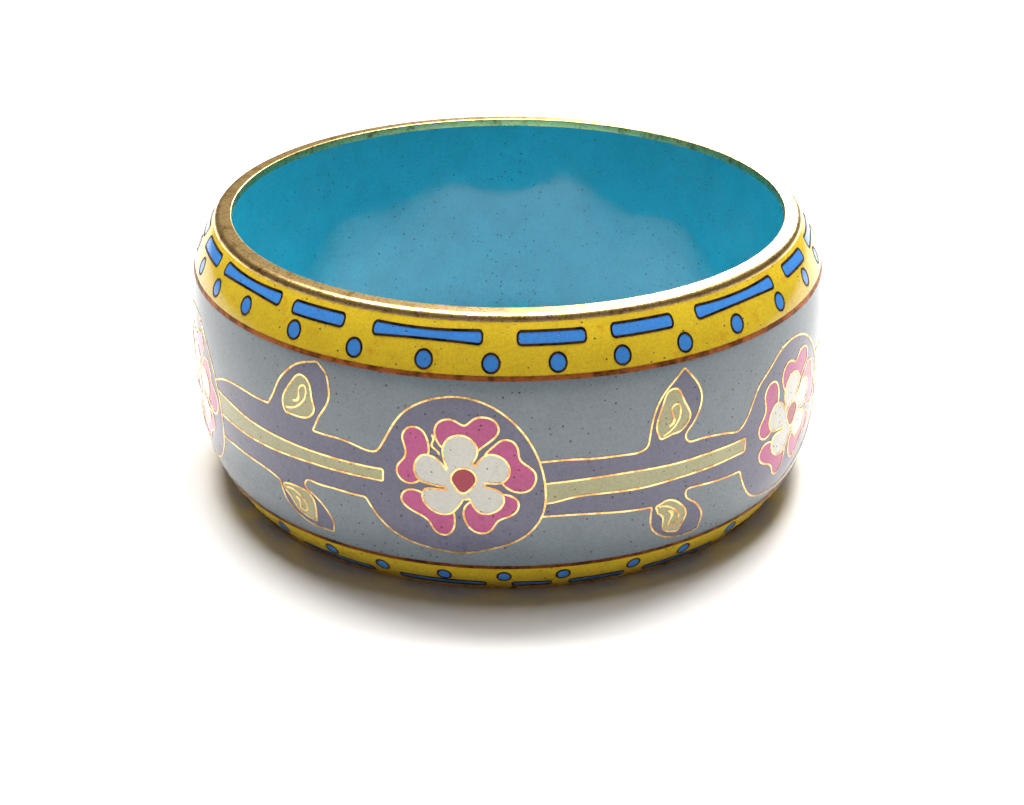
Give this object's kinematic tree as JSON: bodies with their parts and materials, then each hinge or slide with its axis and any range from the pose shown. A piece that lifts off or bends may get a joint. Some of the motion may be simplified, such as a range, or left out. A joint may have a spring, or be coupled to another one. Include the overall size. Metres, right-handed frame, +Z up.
{
  "type": "bangle bracelet",
  "caption": "Wide domed bangle bracelet: cloisonne enamel flowers on winding vines between dotted borders, with metal rims and a smooth enamel lining.",
  "frame": {"origin": "centre of the circle that the bangle rests on, on the plane of its lower rim", "axes": "+Z up along the bangle's axis, from lower rim to upper rim; -Y is the front, with a flower just left of the middle"},
  "size_m": [0.0706, 0.0706, 0.0303],
  "materials": {
    "core_copper": "matt copper sheet, hidden behind the enamels",
    "rim_brass": "gilt brass, polished and worn pale on its edges",
    "wire_brass": "gilt brass wire, ground flush and darkened beside the enamel",
    "enamel_turquoise": "glossy fired enamel",
    "enamel_yellow": "glossy fired enamel with fine pits",
    "enamel_grey": "glossy fired enamel with fine pits",
    "enamel_slate": "glossy fired enamel with fine pits",
    "enamel_blue": "glossy fired enamel with fine pits",
    "enamel_white": "glossy fired enamel with fine pits",
    "enamel_pink": "glossy fired enamel with fine pits",
    "enamel_red": "glossy fired enamel with fine pits",
    "enamel_khaki": "glossy fired enamel with fine pits"
  },
  "bodies": {
    "root": {"core_band": "core_copper", "top_rim": "rim_brass", "bottom_rim": "rim_brass", "lining_enamel": "enamel_turquoise", "inner_band": "core_copper", "upper_border_wire": "wire_brass", "lower_border_wire": "wire_brass", "upper_border_enamel": "enamel_yellow", "lower_border_enamel": "enamel_yellow", "upper_bar_wires": "wire_brass", "upper_bar_enamel": "enamel_blue", "upper_dot_wires": "wire_brass", "upper_dot_enamel": "enamel_blue", "lower_bar_wires": "wire_brass", "lower_bar_enamel": "enamel_blue", "lower_dot_wires": "wire_brass", "lower_dot_enamel": "enamel_blue", "field_enamel_upper": "enamel_grey", "field_enamel_lower": "enamel_grey", "vine_wire_1": "wire_brass", "vine_enamel_1": "enamel_slate", "flower_wires_1": "wire_brass", "white_petals_1": "enamel_white", "pink_petals_1": "enamel_pink", "flower_centre_1": "enamel_red", "vine_wire_2": "wire_brass", "vine_enamel_2": "enamel_slate", "flower_wires_2": "wire_brass", "white_petals_2": "enamel_white", "pink_petals_2": "enamel_pink", "flower_centre_2": "enamel_red", "vine_wire_3": "wire_brass", "vine_enamel_3": "enamel_slate", "flower_wires_3": "wire_brass", "white_petals_3": "enamel_white", "pink_petals_3": "enamel_pink", "flower_centre_3": "enamel_red", "vine_wire_4": "wire_brass", "vine_enamel_4": "enamel_slate", "flower_wires_4": "wire_brass", "white_petals_4": "enamel_white", "pink_petals_4": "enamel_pink", "flower_centre_4": "enamel_red", "vine_wire_5": "wire_brass", "vine_enamel_5": "enamel_slate", "flower_wires_5": "wire_brass", "white_petals_5": "enamel_white", "pink_petals_5": "enamel_pink", "flower_centre_5": "enamel_red", "vine_wire_6": "wire_brass", "vine_enamel_6": "enamel_slate", "flower_wires_6": "wire_brass", "white_petals_6": "enamel_white", "pink_petals_6": "enamel_pink", "flower_centre_6": "enamel_red", "stem_wires": "wire_brass", "stem_enamel": "enamel_khaki", "bud_wires": "wire_brass", "bud_enamel": "enamel_khaki"}
  },
  "joints": []
}
